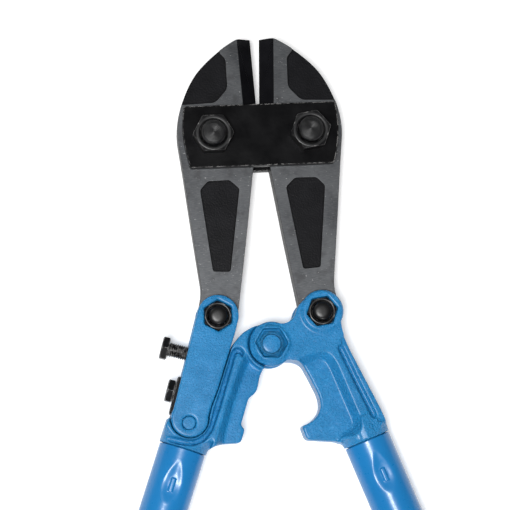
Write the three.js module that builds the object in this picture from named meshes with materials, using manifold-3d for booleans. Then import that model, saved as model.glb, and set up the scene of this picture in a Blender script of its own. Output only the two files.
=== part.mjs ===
// Bolt cutters with adjustable centre-cut jaws, 36 inch size.
// Two forged blades turn in a pair of side plates. Their tails are held by two lever castings
// that turn on each other at the centre bolt. An adjusting link carries the left blade's tail.
// Millimetres, +Z up. The tool lies flat with its jaws towards +Y. While it is built, the centre
// bolt's axis is x = y = 0 and the middle plane is z = 0. The last lines move the finished group
// so that its box stands on z = 0 with the origin under its middle.

import * as THREE from 'three';
import { mergeVertices } from 'three/addons/utils/BufferGeometryUtils.js';
import Module from 'manifold-3d';

const wasm = await Module();
wasm.setup();

const radians = THREE.MathUtils.degToRad;

// ---------------------------------------------------------------- driving dimensions
const OVERALL_LENGTH = 914;      // jaw tips to grip ends with the jaws shut
const HEAD_SPAN = 66.8;          // between the two blade bolts
const BLADE_REACH = 124.2;       // blade bolt to tail bolt
const JAW_REACH = 68;            // blade bolt to jaw tip, along the cutting edge
const LEVER_ARM = 41.3;          // centre bolt to tail bolt
const ARM_ANGLE = 30.1;          // degrees that the tail bolts stand above the centre bolt
const LINK_PIN_ACROSS = 23.1;    // link pin from the left tail bolt, outwards
const LINK_PIN_DOWN = 71.9;      // and towards the handles
const JAW_OPENING = 2.6;         // degrees that each jaw stands open
const HANDLE_SPLAY = 20.2;       // degrees between each handle and the tool's middle line
const HANDLE_TRAVEL = 37.7;      // degrees that one handle turns before the stops meet
const LEFT_STOP_ANGLE = 20;      // degrees from the middle line to the left stop face

const BLADE_THICKNESS = 16;
const PLATE_THICKNESS = 7.7;
const EAR_THICKNESS = 8.65;      // each ear of the lever castings and of the link
const GAP = 0.3;                 // between pieces that bear on each other
const FORK_GAP = 0.35;           // between a fork's ear and what it holds
const JAW_GAP = 0.1;             // each edge to the middle line with the jaws shut

const BLADE_BOLT_RADIUS = 8.6;
const BLADE_NUT_FLATS = 24.6;
const BLADE_NUT_HEIGHT = 12;
const BLADE_HEAD_HEIGHT = 10;
const LEVER_BOLT_RADIUS = 6.4;
const LEVER_NUT_FLATS = 18;
const CENTRE_NUT_FLATS = 16.8;   // the centre nut is smaller than the two tail nuts
const LEVER_NUT_HEIGHT = 4.4;
const CENTRE_NUT_HEIGHT = 3.7;
const CENTRE_RING_RADIUS = 8.1;  // raised ring round the centre nut's bore
const CENTRE_RING_RISE = 0.9;
const CENTRE_END_SUNK = 2.2;     // the centre bolt's end below that ring
const HEX_RECESS_DEPTH = 6;
const HEX_RECESS_ROOM = 0.6;     // round each tail nut and bolt head in its recess
const CENTRE_RECESS_ROOM = 1.4;  // round the centre nut and bolt head
const CENTRE_RECESS_RISE = 0.6;  // how far the centre recess is forged off the bolt's axis
const TAIL_BOLT_PLAY = 3.6;      // extra radius of the right tail's bore, where the linkage is left open
const TAIL_BORE_SHIFT = -1.9;    // how far that bore is set in, so the play is even over the travel

const TAIL_RADIUS = 13.6;
const HUB_RADIUS = 14.2;
const TONGUE_RADIUS = 13.4;      // left casting's tongue round the centre bolt
const EAR_RADIUS = 15.3;         // right casting's ears round the centre bolt
const EAR_CLEARANCE = 0.6;
const BOSS_RISE = 1.6;           // the right casting's bosses stand proud of its face by this
const BOSS_SLOPE = 1.5;          // width of the slope round each boss

const JOINT_X = 63.2;            // middle of each collar's end, where the tube starts
const JOINT_Y = -67.7;
const TUBE_RADIUS = 16;
const TUBE_WALL = 2.2;
const COLLAR_RADIUS = 16.7;
const COLLAR_LENGTH = 16;
const SPIGOT_LENGTH = 42;
const JOINT_GAP = 0.7;
const GRIP_LENGTH = 175;
const GRIP_RADIUS = 19.5;
const GRIP_END_WALL = 5;

const WEB_HALF = 10;             // half thickness of the castings' thin webs
const SLOPE = 4.8;               // width of the sloping walls round the webs
const LINK_GAP = 0.8;            // link's edge to the left casting
const PIN_RADIUS = 4.5;
const SCREW_RADIUS = 5;
const SCREW_HEAD_FLATS = 15;
const SCREW_HEAD_HEIGHT = 5;
const LOCK_PLATE_THICKNESS = 3.4;

// ---------------------------------------------------------------- places worked out from them
const bladeHalf = BLADE_THICKNESS / 2;
const forkHalf = bladeHalf + FORK_GAP;
const leverHalf = forkHalf + EAR_THICKNESS;
const plateInner = bladeHalf + GAP;
const plateOuter = plateInner + PLATE_THICKNESS;

const tailBolt = new THREE.Vector2(
  LEVER_ARM * Math.cos(radians(ARM_ANGLE)),
  LEVER_ARM * Math.sin(radians(ARM_ANGLE)),
);
const headX = HEAD_SPAN / 2;
const headRise = Math.sqrt(BLADE_REACH ** 2 - (tailBolt.x - headX) ** 2);
const bladeBolt = new THREE.Vector2(headX, tailBolt.y + headRise);
const linkPin = new THREE.Vector2(-tailBolt.x - LINK_PIN_ACROSS, tailBolt.y - LINK_PIN_DOWN);

// ---------------------------------------------------------------- making and cutting solids
// A closed three.js geometry as a manifold solid.
function solid(geometry) {
  const bare = geometry.clone();
  bare.deleteAttribute('normal');
  bare.deleteAttribute('uv');
  const merged = mergeVertices(bare, 1e-4);
  const mesh = new wasm.Mesh({
    numProp: 3,
    vertProperties: new Float32Array(merged.attributes.position.array),
    triVerts: new Uint32Array(merged.index.array),
  });
  return new wasm.Manifold(mesh);
}

// A manifold solid as a geometry for a mesh.
function geometryOf(body) {
  const mesh = body.getMesh();
  const geometry = new THREE.BufferGeometry();
  geometry.setAttribute('position', new THREE.BufferAttribute(new Float32Array(mesh.vertProperties), 3));
  geometry.setIndex(new THREE.BufferAttribute(new Uint32Array(mesh.triVerts), 1));
  geometry.computeVertexNormals();
  return geometry;
}

// A closed outline through corners [x, y, radius]. A corner with a radius is rounded.
function outline(corners) {
  const shape = new THREE.Shape();
  const count = corners.length;
  corners.forEach(([x, y, radius = 0], index) => {
    const corner = new THREE.Vector2(x, y);
    const before = new THREE.Vector2(...corners[(index + count - 1) % count]);
    const after = new THREE.Vector2(...corners[(index + 1) % count]);
    const reachBefore = Math.min(radius, corner.distanceTo(before) * 0.49);
    const reachAfter = Math.min(radius, corner.distanceTo(after) * 0.49);
    const start = corner.clone().add(before.sub(corner).setLength(reachBefore));
    const end = corner.clone().add(after.sub(corner).setLength(reachAfter));
    if (index === 0) {
      shape.moveTo(start.x, start.y);
    } else {
      shape.lineTo(start.x, start.y);
    }
    if (radius > 0) {
      shape.quadraticCurveTo(x, y, end.x, end.y);
    }
  });
  shape.closePath();
  return shape;
}

// A flat slab of an outline between two heights.
function slab(corners, low, high, curveSegments = 4) {
  const geometry = new THREE.ExtrudeGeometry(outline(corners), {
    depth: high - low,
    bevelEnabled: false,
    curveSegments,
  });
  geometry.translate(0, 0, low);
  return solid(geometry);
}

// A cutter whose floor is the outline and which widens by spread as it rises from floor to top.
function pocket(corners, floor, top, spread) {
  const geometry = new THREE.ExtrudeGeometry(outline(corners), {
    depth: 6,
    bevelEnabled: true,
    bevelThickness: top - floor,
    bevelSize: spread,
    bevelSegments: 1,
    curveSegments: 3,
  });
  geometry.translate(0, 0, top);
  return solid(geometry);
}

// A round bar along Z.
function bar(x, y, radius, low, high, sides = 30) {
  const geometry = new THREE.CylinderGeometry(radius, radius, high - low, sides);
  geometry.rotateX(Math.PI / 2);
  geometry.translate(x, y, (low + high) / 2);
  return solid(geometry);
}

// A hexagonal bar along Z. Its corners are turned by turn degrees from +X.
function hexagon(x, y, flats, low, high, turn = 0) {
  const corner = flats / Math.sqrt(3);
  const geometry = new THREE.CylinderGeometry(corner, corner, high - low, 6);
  geometry.rotateX(Math.PI / 2);
  geometry.rotateZ(radians(turn + 30));
  geometry.translate(x, y, (low + high) / 2);
  return solid(geometry);
}

// A turned solid standing along Z: profile points [radius, height] that start and end on the axis.
function turned(profile, sides = 24) {
  const points = profile.map(([radius, height]) => new THREE.Vector2(radius, height));
  const geometry = new THREE.LatheGeometry(points, sides);
  geometry.rotateX(Math.PI / 2);
  return solid(geometry);
}

// The mirror image of a solid: scale is (-1, 1, 1) across the middle line, (1, 1, -1) front to back.
function mirror(body, x, y, z) {
  const geometry = geometryOf(body);
  geometry.scale(x, y, z);
  const index = geometry.index;
  for (let corner = 0; corner < index.count; corner += 3) {
    const first = index.getX(corner);
    index.setX(corner, index.getX(corner + 1));
    index.setX(corner + 1, first);
  }
  return solid(geometry);
}

// The same cut in the front and the back face.
function cutBothFaces(body, cutter) {
  return body.subtract(cutter).subtract(mirror(cutter, 1, 1, -1));
}

// A solid moved across to a spot.
function placed(body, x, y) {
  const geometry = geometryOf(body);
  geometry.translate(x, y, 0);
  return solid(geometry);
}

// The corners of a strip of constant width along a line of points.
function strip(points, width) {
  const line = points.map(([x, y]) => new THREE.Vector2(x, y));
  const left = [];
  const right = [];
  line.forEach((point, index) => {
    const from = line[Math.max(index - 1, 0)];
    const to = line[Math.min(index + 1, line.length - 1)];
    const along = to.clone().sub(from).normalize();
    const across = new THREE.Vector2(-along.y, along.x).multiplyScalar(width / 2);
    left.push([point.x + across.x, point.y + across.y, width / 2]);
    right.unshift([point.x - across.x, point.y - across.y, width / 2]);
  });
  return [...left, ...right];
}

// A point at a radius round the centre bolt, angle in degrees from +X.
function polar(radius, angle) {
  return [radius * Math.cos(radians(angle)), radius * Math.sin(radians(angle))];
}

// ---------------------------------------------------------------- materials
const blueCoat = new THREE.MeshStandardMaterial({ color: 0x3d8fd1, roughness: 0.45, metalness: 0.1 });
const blueTube = new THREE.MeshStandardMaterial({ color: 0x2b82cc, roughness: 0.35, metalness: 0.1 });
const groundSteel = new THREE.MeshStandardMaterial({ color: 0x6f6f70, roughness: 0.45, metalness: 0.8 });
const blackSteel = new THREE.MeshStandardMaterial({ color: 0x1b1b1c, roughness: 0.5, metalness: 0.6 });
const blackRubber = new THREE.MeshStandardMaterial({ color: 0x161616, roughness: 0.8, metalness: 0 });

const group = new THREE.Group();

function add(name, body, material, parent = group) {
  const mesh = new THREE.Mesh(geometryOf(body), material);
  mesh.name = name;
  parent.add(mesh);
}

// ---------------------------------------------------------------- fasteners
// A bolt along Z: a hexagonal head at the back and a domed end that stands out of its nut.
function boltSolid(spot, radius, flats, headLow, headHigh, end, dome, turn) {
  const shank = turned([
    [0, headLow + 1],
    [radius, headLow + 1],
    [radius, end],
    [radius * 0.9, end + dome * 0.45],
    [radius * 0.66, end + dome * 0.8],
    [radius * 0.35, end + dome * 0.96],
    [0, end + dome],
  ]);
  const head = hexagon(0, 0, flats, headLow, headHigh, turn);
  return placed(head.add(shank), spot.x, spot.y);
}

// A hexagonal nut along Z with its upper corners turned off.
function nutSolid(spot, flats, bore, low, high, turn) {
  const corner = flats / Math.sqrt(3);
  const chamfer = turned([
    [0, low - 1],
    [corner + 1, low - 1],
    [corner + 1, high - (corner - flats / 2) * 0.8],
    [flats / 2 - 0.4, high],
    [0, high],
  ]);
  const nut = hexagon(0, 0, flats, low, high, turn).intersect(chamfer);
  return placed(nut.subtract(bar(0, 0, bore, low - 1, high + 1)), spot.x, spot.y);
}

// ---------------------------------------------------------------- blades
// The right blade, drawn round its blade bolt with the jaws shut. The cutting edge is ground back
// from both faces, and both faces carry two sunk, blackened panels.
const edge = headX - JAW_GAP;
const edgeWidth = 9.6;
const edgeLand = 0.3;
const edgeHeel = 12;
const panelDepth = 0.9;
const openTurn = radians(JAW_OPENING);
const tailShut = tailBolt.clone().sub(bladeBolt).rotateAround(new THREE.Vector2(), openTurn);

const bladeOutline = [
  [-edge, JAW_REACH],
  [-edge + edgeWidth, JAW_REACH, 3],
  [-edge + 19.5, JAW_REACH - 5.2, 5],
  [-edge + 32, JAW_REACH - 14.4, 6],
  [-edge + 41, JAW_REACH - 23, 6],
  [14.2, 35, 6],
  [21.6, 19, 8],
  [24, 3, 6],
  [22.4, -18, 8],
  [19.6, -BLADE_REACH * 0.52, 8],
  [16.8, -BLADE_REACH + 18, 6],
  [tailShut.x + TAIL_RADIUS - 0.6, tailShut.y + 3, 4],
  [tailShut.x + 6, tailShut.y + 1],
  [tailShut.x - 6, tailShut.y - 6],
  [tailShut.x - TAIL_RADIUS - 0.4, tailShut.y - 1, 4],
  [-17.3, -BLADE_REACH * 0.57, 8],
  [-26.6, -23, 6],
  [-edge + 0.9, 0, 6],
  [-edge, edgeHeel + 4],
];
const jawPanel = [
  [-edge + 22.6, JAW_REACH + 4],
  [-edge + 22.6, JAW_REACH - 9.2],
  [-edge + 19, JAW_REACH - 13.6, 2],
  [-edge + 19.6, JAW_REACH - 34.6, 3],
  [-4.6, 24.4, 3],
  [30, 24.7],
  [30, JAW_REACH + 4],
];
const shankPanel = [
  [-15.4, -37, 1.5],
  [-9.2, -30.6, 1.5],
  [5.6, -30.2, 1.5],
  [11.4, -35.8, 1.5],
  [7.8, -BLADE_REACH + 31.6, 1.5],
  [-3.9, -BLADE_REACH + 30.4, 1.5],
];

// The wedge that is ground away between the cutting edge and the front face.
function edgeWedge() {
  const slope = (bladeHalf - edgeLand) / edgeWidth;
  const section = new THREE.Shape();
  section.moveTo(-edge - 3, edgeLand);
  section.lineTo(-edge, edgeLand);
  section.lineTo(-edge + edgeWidth + 2, bladeHalf + 2 * slope);
  section.lineTo(-edge - 3, bladeHalf + 2 * slope);
  section.closePath();
  const length = JAW_REACH - edgeHeel + 2;
  const geometry = new THREE.ExtrudeGeometry(section, { depth: length, bevelEnabled: false });
  geometry.rotateX(Math.PI / 2);
  geometry.translate(0, edgeHeel + length, 0);
  return solid(geometry);
}

function bladeSolid(tailBore, boreShift) {
  let blade = slab(bladeOutline, -bladeHalf, bladeHalf);
  blade = blade.add(bar(tailShut.x, tailShut.y, TAIL_RADIUS, -bladeHalf, bladeHalf));
  blade = cutBothFaces(blade, slab(jawPanel, bladeHalf - panelDepth, bladeHalf + 2));
  blade = cutBothFaces(blade, slab(shankPanel, bladeHalf - panelDepth, bladeHalf + 2));
  blade = cutBothFaces(blade, edgeWedge());
  blade = blade.subtract(bar(0, 0, BLADE_BOLT_RADIUS + GAP, -bladeHalf - 1, bladeHalf + 1));
  return blade.subtract(bar(tailShut.x + boreShift, tailShut.y, tailBore, -bladeHalf - 1, bladeHalf + 1));
}

const tailFit = LEVER_BOLT_RADIUS + GAP;
const rightBlade = new THREE.Group();
rightBlade.position.set(bladeBolt.x, bladeBolt.y, 0);
rightBlade.rotation.z = -openTurn;
group.add(rightBlade);
add('right_blade', bladeSolid(tailFit + TAIL_BOLT_PLAY, TAIL_BORE_SHIFT), groundSteel, rightBlade);

const leftBlade = new THREE.Group();
leftBlade.position.set(-bladeBolt.x, bladeBolt.y, 0);
leftBlade.rotation.z = openTurn;
group.add(leftBlade);
add('left_blade', mirror(bladeSolid(tailFit, 0), -1, 1, 1), groundSteel, leftBlade);

// ---------------------------------------------------------------- side plates and blade bolts
const plateTop = 21;
const plateBottom = -22;
const plateOutline = [
  [headX + 19.1, bladeBolt.y + plateTop, 1],
  [-headX - 19.1, bladeBolt.y + plateTop, 1],
  [-headX - 20.6, bladeBolt.y + 8, 10],
  [-headX - 20.2, bladeBolt.y - 4, 10],
  [-headX - 16.4, bladeBolt.y + plateBottom, 2],
  [headX + 16.4, bladeBolt.y + plateBottom, 2],
  [headX + 20.2, bladeBolt.y - 4, 10],
  [headX + 20.6, bladeBolt.y + 8, 10],
];

function sidePlate(low, high) {
  let plate = slab(plateOutline, low, high);
  for (const side of [-1, 1]) {
    plate = plate.subtract(bar(side * headX, bladeBolt.y, BLADE_BOLT_RADIUS + GAP, low - 1, high + 1));
  }
  return plate;
}

add('front_plate', sidePlate(plateInner, plateOuter), blackSteel);
add('rear_plate', sidePlate(-plateOuter, -plateInner), blackSteel);

const bladeNutLow = plateOuter + GAP;
const bladeNutHigh = bladeNutLow + BLADE_NUT_HEIGHT;
for (const [name, side, turn] of [['left', -1, 0], ['right', 1, 9]]) {
  const spot = new THREE.Vector2(side * headX, bladeBolt.y);
  const headHigh = -plateOuter - GAP;
  const bolt = boltSolid(spot, BLADE_BOLT_RADIUS, BLADE_NUT_FLATS, headHigh - BLADE_HEAD_HEIGHT, headHigh,
    bladeNutHigh + 0.4, 2.8, turn);
  add(`${name}_blade_bolt`, bolt, blackSteel);
  const nut = nutSolid(spot, BLADE_NUT_FLATS, BLADE_BOLT_RADIUS + GAP, bladeNutLow, bladeNutHigh, turn);
  add(`${name}_blade_nut`, nut, blackSteel);
}

// ---------------------------------------------------------------- shared by the two lever castings
const splay = radians(HANDLE_SPLAY);
const joint = new THREE.Vector2(JOINT_X, JOINT_Y);
const up = new THREE.Vector2(-Math.sin(splay), Math.cos(splay));
const out = new THREE.Vector2(Math.cos(splay), Math.sin(splay));

// A point beside the right tube: rise above its joint and offset outwards from its axis.
function besideTube(rise, offset, radius = 0) {
  return [joint.x + up.x * rise + out.x * offset, joint.y + up.y * rise + out.y * offset, radius];
}

// A turned solid on the right tube's axis; heights are measured from the joint towards the head.
function onTubeAxis(profile, sides = 28) {
  const geometry = geometryOf(turned(profile, sides));
  geometry.rotateX(-Math.PI / 2);
  geometry.rotateZ(splay);
  geometry.translate(joint.x, joint.y, 0);
  return solid(geometry);
}

// The round collar with the spigot that carries the tube.
const spigotRadius = TUBE_RADIUS - TUBE_WALL - GAP;
function collar() {
  return onTubeAxis([
    [0, -SPIGOT_LENGTH],
    [spigotRadius - 1.5, -SPIGOT_LENGTH],
    [spigotRadius, -SPIGOT_LENGTH + 1.5],
    [spigotRadius, 0],
    [COLLAR_RADIUS, 0],
    [COLLAR_RADIUS, COLLAR_LENGTH],
    [0, COLLAR_LENGTH],
  ]);
}

// What is taken off the flat forging so that its shoulders run down into the collar.
function shoulderCut() {
  const low = besideTube(-3, -17.5);
  const block = slab([low, besideTube(-3, 30), besideTube(COLLAR_LENGTH + 6, 30),
    besideTube(COLLAR_LENGTH + 6, -17.5)], -leverHalf - 2, leverHalf + 2);
  const cone = onTubeAxis([
    [0, -5],
    [COLLAR_RADIUS, -5],
    [COLLAR_RADIUS, 1],
    [COLLAR_RADIUS * 1.06, 4],
    [COLLAR_RADIUS * 1.22, 7],
    [COLLAR_RADIUS * 1.5, 12],
    [COLLAR_RADIUS * 2, COLLAR_LENGTH + 8],
    [0, COLLAR_LENGTH + 8],
  ]);
  return block.subtract(cone);
}

// A stop face lies on a line through the centre bolt, so the two faces meet flat.
const stopNear = 59.5;
const stopFar = 69.5;
const rightStopAngle = HANDLE_TRAVEL - LEFT_STOP_ANGLE;

// The hexagonal recess for a nut of that size across its flats.
function hexRecess(spot, flats, turn) {
  return hexagon(spot.x, spot.y, flats, leverHalf - HEX_RECESS_DEPTH, leverHalf + 2, turn);
}

const centre = new THREE.Vector2(0, 0);
const leftTailBolt = new THREE.Vector2(-tailBolt.x, tailBolt.y);
const rightFace = leverHalf - BOSS_RISE;
const centreBossRadius = 11.6;
const centreNutTurn = -3;
const rightNutTurn = 8;
const leftNutTurn = 30;

// ---------------------------------------------------------------- right lever casting
// Its ears hold the left casting's tongue at the centre bolt and the right blade's tail.
const rightOutline = [
  [0.5, EAR_RADIUS - 0.4],
  [9, 12.8, 5],
  [tailBolt.x - 19.4, tailBolt.y - 4, 6],
  [tailBolt.x - 17.2, tailBolt.y + 4, 5],
  [tailBolt.x - 9, tailBolt.y + 10.9],
  [tailBolt.x + 9, tailBolt.y + 10.9],
  [tailBolt.x + 12.8, tailBolt.y + 2, 3],
  [tailBolt.x + 12.4, tailBolt.y - 9, 6],
  [50.2, 2, 8],
  [54.2, -8, 8],
  besideTube(14, 15.8, 6),
  besideTube(2, 15.8),
  besideTube(2, -15.8),
  [42.4, -68.4, 3],
  [35, -67.6, 4],
  [...polar(stopFar, -90 + rightStopAngle), 2.5],
  [...polar(stopNear, -90 + rightStopAngle), 2],
  [25.2, -54.4, 5],
  [31.6, -47.5, 7],
  [31.9, -38.5, 6],
  [24.6, -22.2, 8],
  [19.4, -12.2, 7],
  [8, -11],
  [0, -10],
];
const rightPocket = [
  [22.2, -14.4],
  [30.8, -11.4, 3],
  [36.3, -12, 3],
  [39.6, -17.2, 3],
  [54, -56.2, 3],
  [52.2, -60.4, 3],
  [43.4, -64.2, 3],
  [40, -80],
  [5, -80],
  [5, -30],
  [14, -24],
];
const rightGroove = [[47, -4], [57.1, -28], [68, -52.5]];
const rightRim = [
  [47, 1],
  [57.6, -28],
  [69.6, -56],
  [90, -60],
  [90, 10],
  [60, 10],
];

// A boss: a round pad that stands proud of the forging's face, with a slope round it.
function boss(spot, radius, rim) {
  return placed(turned([
    [0, -leverHalf],
    [radius, -leverHalf],
    [radius + BOSS_SLOPE, -rightFace],
    [rim, -rightFace + 1],
    [rim, rightFace - 1],
    [radius + BOSS_SLOPE, rightFace],
    [radius, leverHalf],
    [0, leverHalf],
  ], 36), spot.x, spot.y);
}

let rightCasting = slab(rightOutline, -rightFace, rightFace);
rightCasting = rightCasting.subtract(shoulderCut()).add(collar());
rightCasting = rightCasting.add(boss(tailBolt, HUB_RADIUS - 1, HUB_RADIUS + 0.5));
rightCasting = rightCasting.add(boss(centre, centreBossRadius, EAR_RADIUS));
rightCasting = cutBothFaces(rightCasting, pocket(rightPocket, WEB_HALF, rightFace, SLOPE));
rightCasting = cutBothFaces(rightCasting, slab(rightRim, rightFace - 2, rightFace + 2));
rightCasting = cutBothFaces(rightCasting, pocket(strip(rightGroove, 2.4), rightFace - 4, rightFace, 1.6));

// The left casting's tongue and neck sweep this sector between the ears.
const tongueClearance = TONGUE_RADIUS + EAR_CLEARANCE;
const sweepReach = EAR_RADIUS + 8;
const tongueSlot = bar(0, 0, tongueClearance, -forkHalf, forkHalf).add(slab([
  [0, 0],
  polar(sweepReach, 50),
  polar(sweepReach + 10, 95),
  polar(sweepReach + 10, 180),
  polar(sweepReach + 10, 265),
  polar(sweepReach, 294),
], -forkHalf, forkHalf));
const tailSweep = TAIL_RADIUS + TAIL_BOLT_PLAY - TAIL_BORE_SHIFT + GAP;
const tailSlot = bar(tailBolt.x, tailBolt.y, tailSweep, -forkHalf, forkHalf).add(slab([
  [tailBolt.x - tailSweep, tailBolt.y],
  [tailBolt.x + tailSweep, tailBolt.y],
  [tailBolt.x + tailSweep + 12, tailBolt.y + 30],
  [tailBolt.x - tailSweep - 12, tailBolt.y + 30],
], -forkHalf, forkHalf));
rightCasting = rightCasting.subtract(tongueSlot).subtract(tailSlot);
const tailRecessFlats = LEVER_NUT_FLATS + 2 * HEX_RECESS_ROOM;
const centreRecessFlats = CENTRE_NUT_FLATS + 2 * CENTRE_RECESS_ROOM;
const centreRecess = new THREE.Vector2(0, CENTRE_RECESS_RISE);
rightCasting = cutBothFaces(rightCasting, hexRecess(centreRecess, centreRecessFlats, centreNutTurn));
rightCasting = cutBothFaces(rightCasting, hexRecess(tailBolt, tailRecessFlats, rightNutTurn));
for (const spot of [centre, tailBolt]) {
  rightCasting = rightCasting.subtract(bar(spot.x, spot.y, tailFit, -leverHalf - 1, leverHalf + 1));
}
add('right_casting', rightCasting, blueCoat);

// ---------------------------------------------------------------- adjusting link
// Two cheeks joined by a web. The upper fork holds the left blade's tail, the lower one the left
// casting's tongue. The adjusting screw runs through the web and pushes on the casting.
const linkFootX = linkPin.x + 0.6;
const linkFootY = linkPin.y + 3;
const linkFootRadius = 12.7;
const linkOutline = [
  [-tailBolt.x + HUB_RADIUS - 0.4, tailBolt.y - 2],
  [-tailBolt.x + HUB_RADIUS - 2.4, tailBolt.y - 10.2, 4],
  [linkFootX + 19.4, linkFootY + 17.6, 6],
  [linkFootX + 14.2, linkFootY + 6.2, 5],
  [linkFootX + linkFootRadius * 0.97, linkFootY - 1, 3],
  [linkFootX, linkFootY - 4],
  [linkFootX - linkFootRadius * 0.99, linkFootY],
  [-tailBolt.x - HUB_RADIUS + 0.2, tailBolt.y + 2],
];

function linkShape(grow, low, high) {
  const middle = new THREE.Vector2((linkPin.x - tailBolt.x) / 2, (linkPin.y + tailBolt.y) / 2);
  const grown = linkOutline.map(([x, y, radius]) => {
    const away = x > middle.x + (y - middle.y) * 0.32 ? 1 : -1;
    return [x + away * grow, y, radius];
  });
  const body = slab(grown, low, high);
  const foot = bar(linkFootX, linkFootY, linkFootRadius + grow, low, high);
  return body.add(foot).add(bar(-tailBolt.x, tailBolt.y, HUB_RADIUS + grow, low, high));
}

// The screws lie square to the link's left edge.
const screwTurn = radians(-16.5);
const linkDown = new THREE.Vector2(Math.sin(screwTurn), -Math.cos(screwTurn));
const linkAcross = new THREE.Vector2(Math.cos(screwTurn), Math.sin(screwTurn));
const leftEdge = new THREE.Vector2(-tailBolt.x - HUB_RADIUS + 0.2, tailBolt.y + 2);

// A point beside the link's left edge: down along it and in from it.
function besideLink(down, inward, radius = 0) {
  return [
    leftEdge.x + linkDown.x * down + linkAcross.x * inward,
    leftEdge.y + linkDown.y * down + linkAcross.y * inward,
    radius,
  ];
}

const webTop = 18;
const webBottom = 39.2;
const tongueTop = 40.3;
const upperScrewDown = 27;
const lowerScrewDown = 54.5;
const lockPlateTop = 44;
const lockPlateBottom = 70;
const lockPlateInner = 1.2;

const webInner = 1;
const webOuter = 25.4;
const webSlab = slab([
  besideLink(webTop, webInner),
  besideLink(webTop, webOuter),
  besideLink(webBottom, webOuter),
  besideLink(webBottom, webInner),
], -forkHalf - 1, forkHalf + 1);
let link = linkShape(0, -leverHalf, leverHalf);
const linkInside = linkShape(6, -forkHalf, forkHalf).subtract(webSlab);
link = link.subtract(linkInside);
link = cutBothFaces(link, hexRecess(leftTailBolt, tailRecessFlats, leftNutTurn));
link = link.subtract(bar(leftTailBolt.x, leftTailBolt.y, tailFit, -leverHalf - 1, leverHalf + 1));
link = link.subtract(bar(linkPin.x, linkPin.y, PIN_RADIUS + GAP, -leverHalf - 1, leverHalf + 1));

// A turned solid along a screw's axis; heights run from the link's left edge into the link.
function onScrewAxis(down, profile, sides = 24) {
  const geometry = geometryOf(turned(profile, sides));
  const [x, y] = besideLink(down, 0);
  geometry.rotateX(-Math.PI / 2);
  geometry.rotateZ(screwTurn - Math.PI / 2);
  geometry.translate(x, y, 0);
  return solid(geometry);
}

function hexOnScrewAxis(down, from, to) {
  const geometry = geometryOf(hexagon(0, 0, SCREW_HEAD_FLATS, from, to, 15));
  const [x, y] = besideLink(down, 0);
  geometry.rotateX(-Math.PI / 2);
  geometry.rotateZ(screwTurn - Math.PI / 2);
  geometry.translate(x, y, 0);
  return solid(geometry);
}

link = link.subtract(onScrewAxis(upperScrewDown, [
  [0, -5],
  [SCREW_RADIUS + GAP, -5],
  [SCREW_RADIUS + GAP, 40],
  [0, 40],
]));
add('adjusting_link', link, blueCoat);
add('link_pin', bar(linkPin.x, linkPin.y, PIN_RADIUS, -leverHalf, leverHalf, 24), blueCoat);

// ---------------------------------------------------------------- left lever casting
const leftOutline = [
  [0, EAR_RADIUS],
  [-9, 13.6, 5],
  [-18, 9.2, 4],
  [-22, 6, 4],
  besideLink(tongueTop - 26, webOuter + 3.4, 3),
  besideLink(tongueTop - 20, webOuter + 2.2),
  besideLink(tongueTop - 4, webOuter + 1.2),
  besideLink(tongueTop, webOuter + 0.5, 1.5),
  besideLink(tongueTop, lockPlateInner + GAP, 2),
  besideLink(lockPlateBottom + 1, lockPlateInner + GAP, 1),
  besideLink(lockPlateBottom + 2.5, -1.6, 1.5),
  [-joint.x - 11.4, joint.y + 16.8, 3],
  [-besideTube(2, 15.8)[0], besideTube(2, 15.8)[1]],
  [-besideTube(2, -15.8)[0], besideTube(2, -15.8)[1]],
  [-42.4, -67.4, 3],
  [-36.6, -66.2, 3],
  [...polar(stopFar + 0.8, -90 - LEFT_STOP_ANGLE), 2],
  [...polar(stopNear + 1, -90 - LEFT_STOP_ANGLE), 2],
  [-23.4, -54.4, 2],
  [-17.2, -36, 2],
  [-13, -33.4, 3],
  [-10.9, -30.2, 3],
  [-8.8, -21, 3],
  [-4.4, -14, 2],
  [0, -10],
];
const leftPocket = [
  [-15, -9],
  [-20.8, -22, 6],
  [-28.2, -40.6, 6],
  [-33.7, -57, 6],
  [-37.6, -70],
  [-38, -80],
  [8, -80],
  [8, -12],
];
const channel = [
  [-20.2, -7.4],
  [-19.8, -5.2, 1],
  [-21.6, -2.9, 1.5],
  [-24.4, -2.2, 1.5],
  [-27.1, -3.9, 1.5],
  [-30.1, -13],
  [-32.4, -19.4],
  [-36.4, -30.4],
  [-40.6, -41.2, 2],
  [-44.2, -53.4, 2],
  [-47.5, -58.9, 2],
  [-53, -62.4, 2],
  [-58.2, -63.3, 2],
  [-64.6, -61.9],
  [-80, -57.5],
  [-80, -60.5],
  [-66, -65],
  [-57, -66.2, 2],
  [-49.9, -64.4, 2],
  [-43.8, -57.4, 2],
  [-41, -50.2],
  [-37.1, -40.4],
  [-33.4, -29.3],
  [-28, -13.9],
  [-25.6, -6.4, 1],
  [-23.6, -4.6, 1],
  [-21.6, -5.2, 0.5],
  [-20.9, -7.4],
];

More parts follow.
